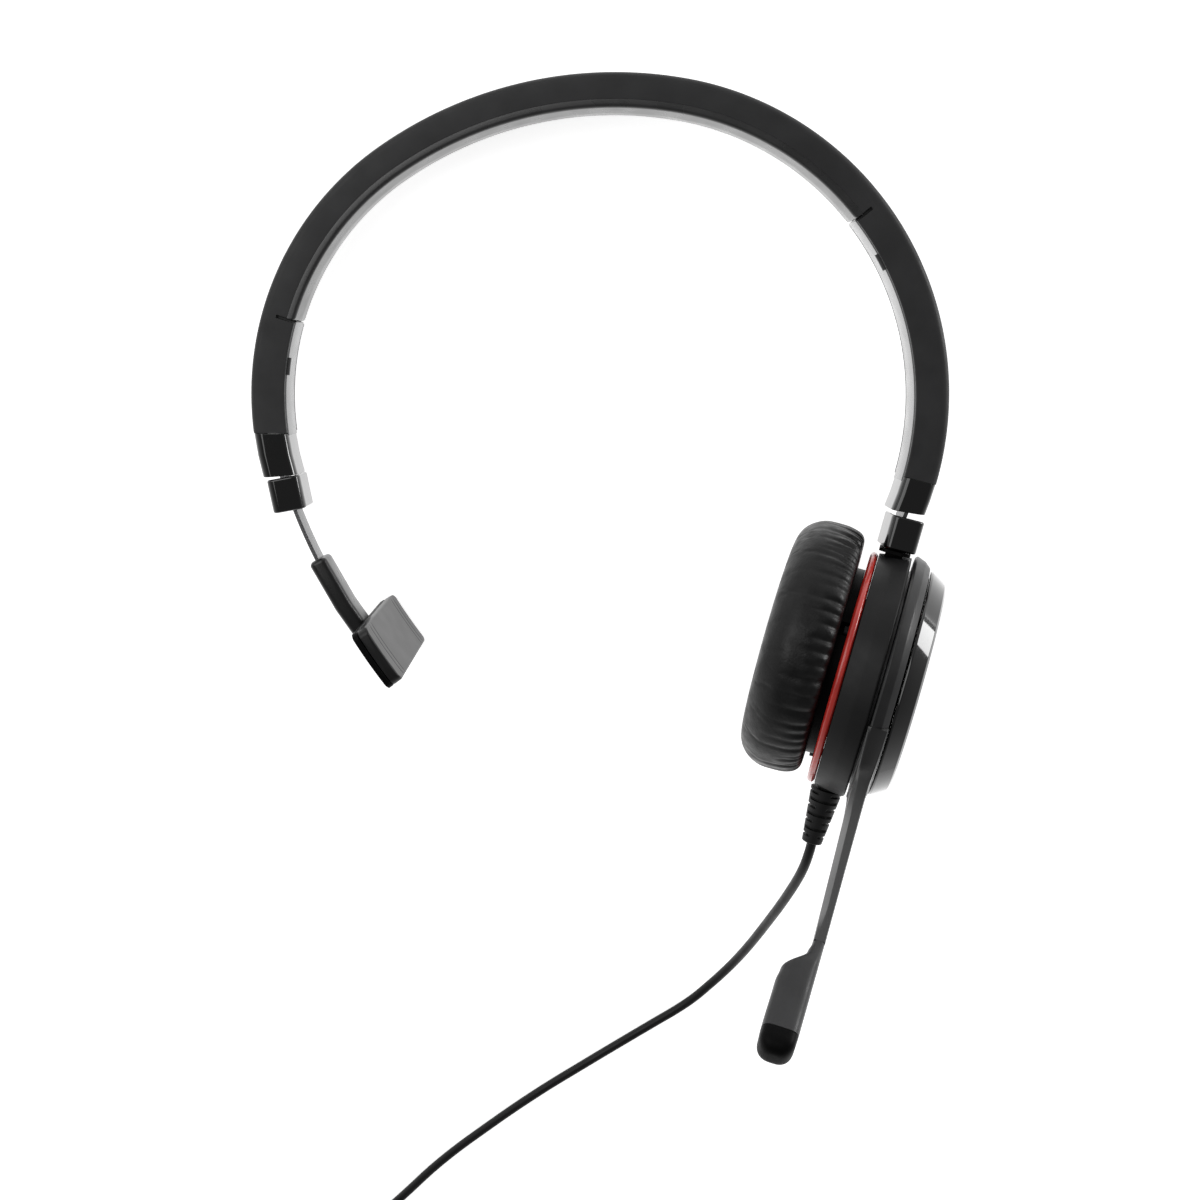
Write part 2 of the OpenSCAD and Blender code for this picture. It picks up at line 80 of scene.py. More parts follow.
# The padding under the crown: the angles of its ends, and how deep in the band it starts.
PAD_LEFT_A = 162.5
PAD_RIGHT_A = 39.0
PAD_DEPTH = 6.3

# The boom's turn about the cup, its ring, and distances from the cup's axis along it.
BOOM_TURN = 50.0
BOOM_RING_X = 12.0
BOOM_RING_R = 31.8
MIC_ROOT = 80.5
BOOM_L = 109.5
TIP_L = 5.4

# The strain relief: its place along the cup's axis, and how far from that axis it lies.
RELIEF_X = 4.6
RELIEF_START = 31.4
RELIEF_END = 44.6

# The cord, and its coil of two layers: the middle of its turns, and the angle where it starts.
CORD_D = 2.6
COIL_C = Vector((-64, -262))
COIL_R = 15.6
COIL_COLUMNS = 5
COIL_TURNS = 9.375
COIL_ENTER_A = 135
COIL_Z = (1.7, 4.3)


def polar(centre, r, a, z=0.0):
    """Point at radius r and angle a in degrees about a centre, at height z."""
    t = math.radians(a)
    return Vector((centre.x + r * math.cos(t), centre.y + r * math.sin(t), z))


LEFT_C = polar(CROWN_C, CROWN_R - LEFT_R, CROWN_LEFT_A).to_2d()
RIGHT_C = polar(CROWN_C, CROWN_R - RIGHT_R, CROWN_RIGHT_A).to_2d()

# ------------------------------------------------------------------ frames

JOINTS = {joint["name"]: joint for joint in frame["joints"]}


def headset_frame():
    """Places the headset's own frame, in millimetres, in the row frame, in metres."""
    front = Vector(JOINTS["left_extend"]["axis"])
    lay_side = math.asin(-front.x)
    lay_crown = math.atan2(front.y, front.z)
    turn = Matrix.Rotation(-lay_crown, 4, "X") @ Matrix.Rotation(-lay_side, 4, "Y")
    pivot = Vector(JOINTS["left_extend"]["pos_m"])
    shift = pivot - turn @ (LEFT_C.to_3d() * MM)
    return Matrix.Translation(shift) @ turn @ Matrix.Scale(MM, 4)


def cup_frame():
    """Cup frame: x along the cup's axis away from the head, y up its stem."""
    x = Vector(JOINTS["boom_turn"]["axis"])
    y = Vector(JOINTS["cup_swivel"]["axis"])
    z = Vector(JOINTS["cup_tilt"]["axis"])
    origin = Vector(JOINTS["boom_turn"]["pos_m"]) - x * BOOM_RING_X * MM
    axes = Matrix((x, y, z)).transposed().to_4x4()
    return Matrix.Translation(origin) @ axes @ Matrix.Scale(MM, 4)


TABLE = headset_frame()
CUP = cup_frame()
BOOM = CUP @ Matrix.Rotation(math.radians(-BOOM_TURN), 4, "X")
WORLD = Matrix.Scale(MM, 4)

# ------------------------------------------------------------------ camera

EYE = Vector((0, 62.5, 400))
AIM = Vector((0, 0, 0))
SENSOR_W = 36
LENS = 48.58


def add_camera():
    """The camera stands over the front of the band, towards the crown, and looks at the head's centre."""
    eye = TABLE @ EYE
    aim = TABLE @ AIM
    across = (TABLE.to_3x3() @ Vector((1, 0, 0))).normalized()
    back = (eye - aim).normalized()
    up = back.cross(across)
    data = bpy.data.cameras.new("camera")
    data.sensor_width = SENSOR_W
    data.lens = LENS
    data.clip_start = 0.01
    data.clip_end = 20
    camera = bpy.data.objects.new("camera", data)
    camera.matrix_world = Matrix.Translation(eye) @ Matrix((across, up, back)).transposed().to_4x4()
    bpy.context.scene.collection.objects.link(camera)
    bpy.context.scene.camera = camera


add_camera()

# ------------------------------------------------------------------ materials


def shader(name, color, roughness, metallic=0.0, coat=0.0, specular=0.5):
    """A new material and its shader, with its even values set on the shader's own sockets."""
    made = bpy.data.materials.new(name)
    made.use_nodes = True
    base = made.node_tree.nodes["Principled BSDF"]
    base.inputs["Base Color"].default_value = (*color, 1)
    base.inputs["Roughness"].default_value = roughness
    base.inputs["Metallic"].default_value = metallic
    base.inputs["Coat Weight"].default_value = coat
    base.inputs["Coat Roughness"].default_value = 0.05
    base.inputs["Specular IOR Level"].default_value = specular
    return made, base


def add_node(made, kind, **values):
    """A shader node with some of its inputs set, named with _ for spaces."""
    new = made.node_tree.nodes.new(kind)
    for key, value in values.items():
        new.inputs[key.replace("_", " ")].default_value = value
    return new


def join(made, output, socket):
    """Links an output to an input."""
    made.node_tree.links.new(output, socket)


def place(made, stretch=(1, 1, 1)):
    """Object coordinates in metres, stretched along the axes."""
    coordinates = add_node(made, "ShaderNodeTexCoord")
    mapping = add_node(made, "ShaderNodeMapping", Scale=stretch)
    join(made, coordinates.outputs["Object"], mapping.inputs["Vector"])
    return mapping.outputs["Vector"]


def noise_of(made, size, detail=3.0, stretch=(1, 1, 1)):
    """Noise whose lumps are about size millimetres across."""
    texture = add_node(made, "ShaderNodeTexNoise", Scale=1 / (size * MM), Detail=detail)
    join(made, place(made, stretch), texture.inputs["Vector"])
    return texture.outputs["Fac"]


def spread(made, fac, low, high, start=0.35, end=0.65):
    """Maps a factor's middle range onto low to high."""
    mapped = add_node(made, "ShaderNodeMapRange")
    mapped.inputs["From Min"].default_value = start
    mapped.inputs["From Max"].default_value = end
    mapped.inputs["To Min"].default_value = low
    mapped.inputs["To Max"].default_value = high
    join(made, fac, mapped.inputs["Value"])
    return mapped.outputs["Result"]


def mottle(made, base, size, dark, light, detail=4.0):
    """Base colour that drifts between two colours."""
    ramp = add_node(made, "ShaderNodeValToRGB")
    ramp.color_ramp.elements[0].position = 0.35
    ramp.color_ramp.elements[1].position = 0.65
    ramp.color_ramp.elements[0].color = (*dark, 1)
    ramp.color_ramp.elements[1].color = (*light, 1)
    join(made, noise_of(made, size, detail), ramp.inputs["Fac"])
    join(made, ramp.outputs["Color"], base.inputs["Base Color"])


def bump(made, base, height, depth, below=None):
    """Relief of a depth in millimetres, on top of another bump's normal."""
    relief = add_node(made, "ShaderNodeBump", Strength=1.0, Distance=depth * MM)
    join(made, height, relief.inputs["Height"])
    if below:
        join(made, below, relief.inputs["Normal"])
    join(made, relief.outputs["Normal"], base.inputs["Normal"])
    return relief.outputs["Normal"]


def moulded(name, tone, roughness, grain=0.35, depth=0.012, coat=0.0, drift=0.15, specular=0.5,
            patchy=0.055):
    """Moulded plastic or rubber: a grain of a size and depth, and a roughness that is patchy."""
    tint = (tone, tone, tone * 1.03)
    made, base = shader(name, tint, roughness, coat=coat, specular=specular)
    base.inputs["Coat Roughness"].default_value = roughness
    mottle(made, base, 9, [c * (1 - drift) for c in tint], [c * (1 + drift) for c in tint])
    patches = spread(made, noise_of(made, 6, 5), roughness - patchy, roughness + patchy)
    join(made, patches, base.inputs["Roughness"])
    fine = bump(made, base, noise_of(made, grain, 2), depth)
    bump(made, base, noise_of(made, 14, 2), depth * 3, fine)
    return made


def soft_touch():
    """Soft-touch paint of the band: a fine satin grain with a little sheen."""
    made = moulded("soft_touch", 0.02, 0.5, grain=0.22, depth=0.006, specular=0.3)
    base = made.node_tree.nodes["Principled BSDF"]
    base.inputs["Sheen Weight"].default_value = 0.02
    base.inputs["Sheen Roughness"].default_value = 0.4
    return made


def gloss():
    """High-gloss black plastic with hairline marks."""
    made, base = shader("gloss_black", (0.0015, 0.0015, 0.0016), 0.09, coat=1.0, specular=0.15)
    marks = spread(made, noise_of(made, 1.1, 6, (1, 6, 1)), 0.07, 0.2, 0.45, 0.8)
    join(made, marks, base.inputs["Roughness"])
    bump(made, base, noise_of(made, 5, 2), 0.012)
    return made


def steel(name, tone, roughness, stretch):
    """Brushed steel with streaks along its length."""
    made, base = shader(name, (tone, tone, tone * 1.02), roughness, metallic=1.0)
    streaks = noise_of(made, 0.35, 4, stretch)
    join(made, spread(made, streaks, roughness - 0.08, roughness + 0.1), base.inputs["Roughness"])
    bump(made, base, streaks, 0.006)
    return made


def plated(name, color, roughness):
    """Plated metal with slightly uneven polish."""
    made, base = shader(name, color, roughness, metallic=1.0)
    join(made, spread(made, noise_of(made, 1.5, 5), roughness - 0.06, roughness + 0.08),
         base.inputs["Roughness"])
    return made


def leatherette():
    """Soft leatherette: pebbled grain over fine creases."""
    made, base = shader("leatherette", (0.002, 0.002, 0.0021), 0.42, specular=0.28)
    mottle(made, base, 7, (0.0014, 0.0014, 0.0015), (0.0026, 0.0026, 0.0027))
    join(made, spread(made, noise_of(made, 3, 5), 0.34, 0.5), base.inputs["Roughness"])
    cells = add_node(made, "ShaderNodeTexVoronoi", Scale=1 / (0.55 * MM))
    cells.feature = "SMOOTH_F1"
    join(made, place(made), cells.inputs["Vector"])
    pebbles = bump(made, base, spread(made, cells.outputs["Distance"], 1.0, 0.0, 0.1, 0.9), 0.022)
    bump(made, base, noise_of(made, 1.6, 5), 0.05, pebbles)
    return made


def accent():
    """Satin red plastic."""
    made, base = shader("accent_red", (0.4, 0.02, 0.014), 0.25, coat=0.5)
    mottle(made, base, 6, (0.36, 0.016, 0.011), (0.44, 0.025, 0.017))
    bump(made, base, noise_of(made, 0.4, 2), 0.006)
    return made


def cloth(name, tone, thread, directions):
    """Open weave: two crossed waves a thread apart, made from the piece's own coordinates."""
    made, base = shader(name, (tone, tone, tone), 0.85, specular=0.2)
    base.inputs["Sheen Weight"].default_value = 0.3
    weave = None
    for direction in directions:
        wave = add_node(made, "ShaderNodeTexWave", Scale=0.314 / (thread * MM))
        wave.bands_direction = direction
        join(made, place(made), wave.inputs["Vector"])
        weave = bump(made, base, wave.outputs["Fac"], thread * 0.35, weave)
    mottle(made, base, 0.8, (tone * 0.5,) * 3, (tone * 1.6,) * 3)
    return made


def film():
    """Clear amber film of the diaphragm."""
    made, base = shader("amber_film", (0.5, 0.34, 0.12), 0.25, coat=0.5)
    bump(made, base, noise_of(made, 1.2, 2), 0.02)
    return made


def board():
    """Green circuit board."""
    made, base = shader("board_green", (0.015, 0.1, 0.04), 0.35, coat=0.3)
    mottle(made, base, 1.5, (0.01, 0.07, 0.03), (0.03, 0.16, 0.07), 1)
    return made


MATERIALS = {
    "band_shell": soft_touch(),
    "band_inner": moulded("band_inner", 0.045, 0.2, depth=0.004, coat=0.6),
    "band_padding": moulded("band_padding", 0.009, 0.3, grain=0.5, depth=0.005, coat=0.6),
    "gloss_black": gloss(),
    "housing_grey": moulded("housing_grey", 0.0065, 0.46, grain=0.3, depth=0.008, specular=0.22),
    "boom_ring_grey": moulded("boom_ring_grey", 0.014, 0.36, grain=0.3, depth=0.008, specular=0.3),
    "boom_rubber": moulded("boom_rubber", 0.005, 0.34, grain=0.25, depth=0.004, coat=0.9, specular=0.25),
    # The head's copy of the arm's rubber, without the coat. Its base colour is several times lighter: a painted
    # sheen standing in for the reflection that the coat gives the arm.
    "head_rubber_painted_sheen": moulded("head_rubber_painted_sheen", 0.027, 0.42, grain=0.25, depth=0.004, specular=0.25),
    "black_plastic": moulded("black_plastic", 0.0015, 0.45, specular=0.06),
    "basket_plastic": moulded("basket_plastic", 0.02, 0.45),
    "washer_plastic": moulded("washer_plastic", 0.05, 0.35),
    "temple_rubber": moulded("temple_rubber", 0.002, 0.32, grain=0.3, depth=0.006, coat=0.5,
                             specular=0.2),
    "pad_rubber": moulded("pad_rubber", 0.005, 0.36, grain=0.25, depth=0.002, drift=0.05,
                          specular=0.3, patchy=0.012),
    "cord_rubber": moulded("cord_rubber", 0.005, 0.5, grain=0.3, depth=0.01, specular=0.25),
    "cord_jacket": moulded("cord_jacket", 0.006, 0.4, grain=0.6, depth=0.01, specular=0.22),
    "slider_steel": steel("slider_steel", 0.16, 0.28, (1, 1, 9)),
    "screw_steel": steel("screw_steel", 0.02, 0.45, (4, 4, 1)),
    "magnet_steel": steel("magnet_steel", 0.4, 0.35, (1, 1, 1)),
    "contact_gold": plated("contact_gold", (0.75, 0.53, 0.22), 0.2),
    "leatherette": leatherette(),
    "accent_red": accent(),
    "speaker_mesh": cloth("speaker_mesh", 0.01, 0.45, "YZ"),
    "tie_black": cloth("tie_black", 0.008, 0.35, "XZ"),
    "amber_film": film(),
    "board_green": board(),
}

for part in frame["record"]["subparts"]:
    mesh = frame["nodes"][part["node"]].data
    mesh.materials.clear()
    mesh.materials.append(MATERIALS[part["material_slot"]])

# ------------------------------------------------------------------ mesh tools


def new_piece(name, points, faces, slot, matrix=WORLD, sharp_a=48):
    """A smooth-shaded mesh piece, with sharp edges past an angle, from points in a frame above."""
    mesh = bpy.data.meshes.new(name)
    mesh.from_pydata([matrix @ Vector(p) for p in points], [], faces)
    mesh.validate()
    mesh.polygons.foreach_set("use_smooth", [True] * len(mesh.polygons))
    mesh.set_sharp_from_angle(angle=math.radians(sharp_a))
    mesh.materials.append(MATERIALS[slot])
    piece = bpy.data.objects.new(name, mesh)
    bpy.context.scene.collection.objects.link(piece)
    return piece


def flatten(piece):
    """Weights the shading by the faces' areas, so that large flat faces look flat."""
    weighted = piece.modifiers.new("flat", "WEIGHTED_NORMAL")
    weighted.keep_sharp = True


def skin(rings, capped=True, looped=False):
    """Points and faces of a skin over rings of points, each ring closed on itself."""
    count = len(rings[0])
    points = [p for ring in rings for p in ring]
    faces = []
    for i in range(len(rings) if looped else len(rings) - 1):
        a = i * count
        b = (i + 1) % len(rings) * count
        for k in range(count):
            n = (k + 1) % count
            faces.append((a + k, a + n, b + n, b + k))
    if capped and not looped:
        for ring_start, ring, order in ((0, rings[0], -1), (len(points) - count, rings[-1], 1)):
            centre = sum((Vector(p) for p in ring), Vector()) / count
            points.append(centre)
            hub = len(points) - 1
            for k in range(count):
                edge = (ring_start + k, ring_start + (k + 1) % count, hub)
                faces.append(edge[::order])
    return points, faces


def merged(shapes):
    """Several (points, faces) as one."""
    points = []
    faces = []
    for more_points, more_faces in shapes:
        start = len(points)
        points += more_points
        faces += [tuple(start + i for i in face) for face in more_faces]
    return points, faces


def turned(profile, segments):
    """Points and faces of a closed profile of (x, radius) turned about the x axis."""
    rings = []
    for i in range(segments):
        t = TAU * i / segments
        rings.append([(x, r * math.cos(t), r * math.sin(t)) for x, r in profile])
    return skin(rings, looped=True)


def rounded_path(corners, steps=5):
    """Rounds the corners of a closed outline, given as (x, y, radius)."""
    out = []
    count = len(corners)
    for i, (x, y, r) in enumerate(corners):
        here = Vector((x, y))
        if r <= 0:
            out.append((x, y))
            continue
        to_last = Vector(corners[i - 1][:2]) - here
        to_next = Vector(corners[(i + 1) % count][:2]) - here
        half = to_last.angle(to_next) / 2
        back = min(r / math.tan(half), to_last.length * 0.49, to_next.length * 0.49)
        start = here + to_last.normalized() * back
        end = here + to_next.normalized() * back
        for k in range(steps + 1):
            t = k / steps
            p = start * (1 - t) ** 2 + here * 2 * t * (1 - t) + end * t ** 2
            out.append((p.x, p.y))
    return out


def slab_outline(w, h, r, steps=5):
    """Closed outline of a centred rectangle with round corners."""
    a = w / 2
    b = h / 2
    return rounded_path([(a, b, r), (-a, b, r), (-a, -b, r), (a, -b, r)], steps)


def smooth(t):
    """Eases from 0 at t = 0 to 1 at t = 1."""
    t = min(max(t, 0.0), 1.0)
    return t * t * (3 - 2 * t)


# ------------------------------------------------------------------ cord

CORD_ROUTE = [
    (52.6, -86.3, 43.3), (52, -89.5, 43.6), (51.4, -93, 43.1), (50.8, -97, 41.5),
    (50, -102, 38.5), (49, -108, 34.2), (47.7, -115, 29), (46.4, -122, 23.4),
    (44.7, -129.5, 17.8), (42.6, -137, 12.6), (40, -144, 8.2), (36.8, -150.2, 5),
    (33, -155.8, 2.8), (28.8, -160.6, 1.7), (24, -164.5, 1.3), (18.5, -168.1, 1.3),
    (8, -175, 1.3), (-4, -183, 1.3), (-16, -191.2, 1.3), (-31, -202.6, 1.3),
    (-46, -215.2, 1.3), (-58.5, -228, 1.3), (-68.5, -237.7, 1.5), (-78.7, -247.3, 1.7),
]
PLUG_ROUTE = [(-60, -282.8, 4.3), (-56, -282.8, 4.1), (-51.5, -282.8, 4)]


def coil_points(per_turn=16):
    """In on the lower layer, out on the upper one, a cord's diameter apart each turn."""
    outer = COIL_R + (COIL_COLUMNS - 1) / 2 * CORD_D
    inner = COIL_R - (COIL_COLUMNS - 1) / 2 * CORD_D
    inward = (COIL_COLUMNS - 1) * per_turn
    climb = per_turn // 2
    last = round(COIL_TURNS * per_turn)
    points = []
    for i in range(1, last + 1):
        if i <= inward:
            r = outer - CORD_D * i / per_turn
            z = COIL_Z[0]
        elif i <= inward + climb:
            r = inner
            z = COIL_Z[0] + (COIL_Z[1] - COIL_Z[0]) * smooth((i - inward) / climb)
        else:
            r = min(outer, inner + CORD_D * (i - inward - climb) / per_turn)
            z = COIL_Z[1]
        points.append(polar(COIL_C, r, COIL_ENTER_A + 360 * i / per_turn, z))
    return points


def add_cord():
    """The whole cord as one curve, from the strain relief to the plug."""
    route = CORD_ROUTE + coil_points() + PLUG_ROUTE
    curve = bpy.data.curves.new("cord", "CURVE")
    curve.dimensions = "3D"
    curve.resolution_u = 5
    curve.bevel_depth = CORD_D / 2 * MM
    curve.bevel_resolution = 4
    curve.use_fill_caps = True
    spline = curve.splines.new("BEZIER")
    spline.bezier_points.add(len(route) - 1)
    for bezier, point in zip(spline.bezier_points, route):
        bezier.co = Vector(point) * MM
        bezier.handle_left_type = "AUTO"
        bezier.handle_right_type = "AUTO"
    curve.materials.append(MATERIALS["cord_jacket"])
    cord = bpy.data.objects.new("cord", curve)
    bpy.context.scene.collection.objects.link(cord)
    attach(cord, "ear_cup")
    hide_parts("cord_tube", "cord_coil")


# ------------------------------------------------------------------ headband


def arc_angles(a0, a1, step, closer=()):
    """Angles from a0 to a1, a step apart at most, with more of them close to some angles."""
    count = max(1, math.ceil(abs(a1 - a0) / step))
    angles = {a0 + (a1 - a0) * k / count for k in range(count + 1)}
    near = (-0.7, -0.5, -0.34, -0.22, 0.0, 0.22, 0.34, 0.5, 0.7)
    for a in closer:
        angles |= {a + d for d in near if min(a0, a1) < a + d < max(a0, a1)}
    return sorted(angles, reverse=a1 < a0)


def band_stations(left_a, right_a, step=1.0, closer=()):
    """(centre, radius, angle) of stations along the band, from its left end to its right."""
    arcs = (
        (LEFT_C, LEFT_R, left_a, CROWN_LEFT_A),
        (CROWN_C, CROWN_R, CROWN_LEFT_A, CROWN_RIGHT_A),
        (RIGHT_C, RIGHT_R, CROWN_RIGHT_A, right_a),
    )
    stations = []
    for centre, r, a0, a1 in arcs:
        angles = arc_angles(a0, a1, step, closer)
        stations += [(centre, r, a) for a in angles[bool(stations):]]
    return stations


def band_ring(station, outline, slant=0.0):
    """An outline of (depth, z) at a station. A slant turns it, in degrees per millimetre."""
    centre, r, a = station
    middle = BAND_T / 2
    return [polar(centre, r - d, a + slant * (d - middle), z) for d, z in outline]


LEFT_SEAM_SLANT = 0.083
LEFT_END_SLANT = 0.153
RIGHT_END_SLANT = -0.164


def cover_outline(depth, pinch, rim_r):
    """Channel outline, open on its inner side. The pinch narrows the inner part of its walls."""
    half = BAND_W / 2
    bore = half - COVER_WALL
    bore_r = 0.3
    floor = 1.6
    waist = 3.7
    step = 0.2
    low = half - pinch
    return rounded_path([
        (depth, low, rim_r), (waist + step, low, 0), (waist, half, 0), (0, half, BAND_CORNER_R),
        (0, -half, BAND_CORNER_R), (waist, -half, 0), (waist + step, -low, 0), (depth, -low, rim_r),
        (depth, -bore, bore_r), (floor, -bore, bore_r), (floor, bore, bore_r), (depth, bore, bore_r),
    ])


def add_band_cover():
    """Outer cover, with a groove at each end of the padding and a slanted left end."""
    rings = []
    groove = 1.0
    groove_half_a = 0.3
    fade = 6.0
    for station in band_stations(LEFT_BAND_END, RIGHT_BAND_END, 1.0, (PAD_LEFT_A, PAD_RIGHT_A)):
        a = station[2]
        off_seam = min(abs(a - PAD_LEFT_A), abs(a - PAD_RIGHT_A))
        padded = PAD_RIGHT_A < a < PAD_LEFT_A
        depth = PAD_DEPTH if padded else BAND_T
        pinch = groove if off_seam < groove_half_a else 0.0
        outline = cover_outline(depth, pinch, 0.05 if padded else 0.35)
        near_end = smooth(1 - (LEFT_BAND_END - a) / fade)
        rings.append(band_ring(station, outline, LEFT_SEAM_SLANT * near_end))
    points, faces = skin(rings)
    cover = new_piece("headband_cover", points, faces, "band_shell", TABLE)
    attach(cover, "headband")
    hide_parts("band_cover")


def add_band_inner():
    """Liner inside the cover: one bar at each end, a thinner one under the padding, and two clips."""
    width = BAND_W - 2 * COVER_WALL - 0.1
    pieces = []
    bar_t = 5.5
    bar_depth = 5.7
    under_cap = 1.0
    outline = [(d + bar_depth, z) for d, z in slab_outline(bar_t, width, 0.5)]
    for a0, a1, c, r in ((LEFT_BAND_END + under_cap, PAD_LEFT_A, LEFT_C, LEFT_R),
                         (PAD_RIGHT_A, RIGHT_BAND_END - under_cap, RIGHT_C, RIGHT_R)):
        rings = [band_ring((c, r, a), outline) for a in arc_angles(a0, a1, 1.0)]
        pieces.append(skin(rings))
    thin_t = 3.6
    thin_depth = 4.4
    outline = [(d + thin_depth, z) for d, z in slab_outline(thin_t, width, 0.3)]
    rings = [band_ring(s, outline) for s in band_stations(PAD_LEFT_A - 0.5, PAD_RIGHT_A + 0.5, 1.5)]
    pieces.append(skin(rings))
    clip_l = 4.2
    clip_w = 1.9
    clip_t = 1.4
    clip_z = 4.6
    clip_a = 9.6
    outline = [(d + BAND_T + 0.1, z + clip_z) for d, z in slab_outline(clip_t, clip_w, 0.5)]
    for a, c, r in ((PAD_LEFT_A + clip_a, LEFT_C, LEFT_R), (PAD_RIGHT_A - clip_a, RIGHT_C, RIGHT_R)):
        half_a = math.degrees(clip_l / 2 / (r - BAND_T))
        rings = [band_ring((c, r, a + k * half_a), outline) for k in (-1, -0.8, 0, 0.8, 1)]
        pieces.append(skin(rings))
    points, faces = merged(pieces)
    core = new_piece("headband_liner", points, faces, "band_inner", TABLE)
    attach(core, "headband")
    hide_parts("band_core")


def add_crown_pad():
    """Padding under the crown: flush with the cover's sides and crowned on the head's side."""
    rings = []
    half = BAND_W / 2 - 0.01
    end_round = 1.1
    end_drop = 0.5
    for station in band_stations(PAD_LEFT_A - 0.3, PAD_RIGHT_A + 0.3, 0.8, (PAD_LEFT_A, PAD_RIGHT_A)):
        _, r, a = station
        from_end = min(abs(a - PAD_LEFT_A), abs(a - PAD_RIGHT_A)) * math.radians(r) - 0.35
        on_crown = r == CROWN_R
        t = 1.0 if on_crown else min(1.0, max(0.0, from_end / end_round))
        drop = end_drop * (1 - math.sqrt(1 - (1 - t) ** 2))
        low = BAND_T + 0.1 - drop
        outline = rounded_path([
            (PAD_DEPTH + 0.02, half, 0.05), (PAD_DEPTH + 0.02, -half, 0.05), (low - 0.15, -half, 1.4),
            (low + 0.25, 0, 12), (low - 0.15, half, 1.4),
        ], 8)
        rings.append(band_ring(station, outline))
    points, faces = skin(rings)
    pad = new_piece("crown_padding", points, faces, "band_padding", TABLE)
    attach(pad, "headband")
    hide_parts("crown_pad")


def end_steps(length, fillet, steps=5):
    """(share of the length, inset) pairs that round off both ends of a sweep."""
    arc = [math.pi / 2 * k / steps for k in range(steps + 1)]
    start = [(fillet * (1 - math.cos(t)) / length, fillet * (1 - math.sin(t))) for t in arc]
    return start + [(0.5, 0.0)] + [(1 - share, inset) for share, inset in reversed(start)]


def add_ferrule(name, node, centre, r, ends, slants):
    """Gloss end cap of the band. Its ends are cut at slants to the radius."""
    fillet = 0.15
    rings = []
    middle = BAND_T / 2
    length = math.radians(abs(ends[1] - ends[0])) * r
    for share, inset in end_steps(length, fillet):
        outline = slab_outline(BAND_T - 2 * inset, BAND_W - 2 * inset, BAND_CORNER_R - inset)
        a = ends[0] + (ends[1] - ends[0]) * share
        slant = slants[0] + (slants[1] - slants[0]) * share
        rings.append([polar(centre, r - middle - d, a + slant * d, z) for d, z in outline])
    points, faces = skin(rings)
    cap = new_piece(name, points, faces, "gloss_black", TABLE)
    flatten(cap)
    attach(cap, "headband")
    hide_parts(node)


def add_ferrules():
    """End caps, a hair's gap away from the cover. The left gap widens towards the head."""
    left_gap = 0.16
    left_opening = 0.036
    right_gap = 0.03
    add_ferrule("left_end_cap", "left_ferrule", LEFT_C, LEFT_R,
                (LEFT_BAND_END + left_gap, LEFT_FERRULE_END),
                (LEFT_SEAM_SLANT + left_opening, LEFT_END_SLANT))
    add_ferrule("right_end_cap", "right_ferrule", RIGHT_C, RIGHT_R,
                (RIGHT_BAND_END - right_gap, RIGHT_FERRULE_END), (0.0, RIGHT_END_SLANT))


add_band_cover()
add_band_inner()
add_crown_pad()
add_ferrules()

# ------------------------------------------------------------------ sliders and temple rest

BLOCK_W = 8.2
BLOCK_L = 8.3
BLOCK_DEPTH = 13.4
BLOCK_CORNER_R = 2.2
BLOCK_FILLET = 0.55


def add_block(name, node, body, centre, tilt):
    """Gloss block on the end of a slider arm, with round corners and soft edges."""
    at = TABLE @ Matrix.Translation((*centre, 0)) @ Matrix.Rotation(math.radians(tilt), 4, "Z")
    rings = []
    for share, inset in end_steps(BLOCK_L, BLOCK_FILLET):
        outline = slab_outline(BLOCK_W - 2 * inset, BLOCK_DEPTH - 2 * inset, BLOCK_CORNER_R - inset, 7)
        y = BLOCK_L * (0.5 - share)
        rings.append([(x, y, z) for x, z in outline])
    points, faces = skin(rings)
    block = new_piece(name, points, faces, "gloss_black", at)
    flatten(block)
    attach(block, body)
    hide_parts(node)


add_block("left_end_block", "left_block", "left_slider", (-76.6, 27.0), 10.5)
add_block("right_end_block", "right_block", "right_slider", (74.6, 17.0), -14.4)

# The temple strip and its sleeve follow one arc, between these angles.
TEMPLE_C = Vector((45.6, 65.9))
TEMPLE_R = 128.0
STRIP_A = (197.4, 215.0)
STRIP_T = 1.0
STRIP_W = 7.0
SLEEVE_A = (205.6, 217.2)
SLEEVE_T = 4.5
SLEEVE_W = 9.6


def add_temple_strip():
    """Spring-steel strip along the temple's arc."""
    outline = slab_outline(STRIP_T, STRIP_W, 0.15)
    rings = []
    for a in arc_angles(*STRIP_A, 0.3):
        rings.append([polar(TEMPLE_C, TEMPLE_R + x, a, z) for x, z in outline])
    points, faces = skin(rings)
    strip = new_piece("temple_spring", points, faces, "slider_steel", TABLE)
    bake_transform(strip)
    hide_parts("temple_strip")


def add_temple_sleeve():
    """Rubber sleeve with soft ends."""
    rings = []
    length = math.radians(SLEEVE_A[1] - SLEEVE_A[0]) * TEMPLE_R
    for share, inset in end_steps(length, 1.1, 6):
        a = SLEEVE_A[0] + (SLEEVE_A[1] - SLEEVE_A[0]) * share
        outline = slab_outline(SLEEVE_T - 2 * inset, SLEEVE_W - 2 * inset, 1.6 - inset * 0.9)
        rings.append([polar(TEMPLE_C, TEMPLE_R + x, a, z) for x, z in outline])
    points, faces = skin(rings)
    sleeve = new_piece("temple_grip", points, faces, "temple_rubber", TABLE)
    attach(sleeve, "temple")
    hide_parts("temple_sleeve")


# The pad of the temple rest: its place and turn, its size, and the radius that it curves about.
REST_C = (-52.6, -9.8)
REST_A = -56.1
REST_W = 15.2
REST_L = 53.4
REST_CURVE_R = 130.0
REST_CORNER_R = 2.0
REST_FRAME = TABLE @ Matrix.Translation((*REST_C, 0)) @ Matrix.Rotation(math.radians(REST_A), 4, "Z")


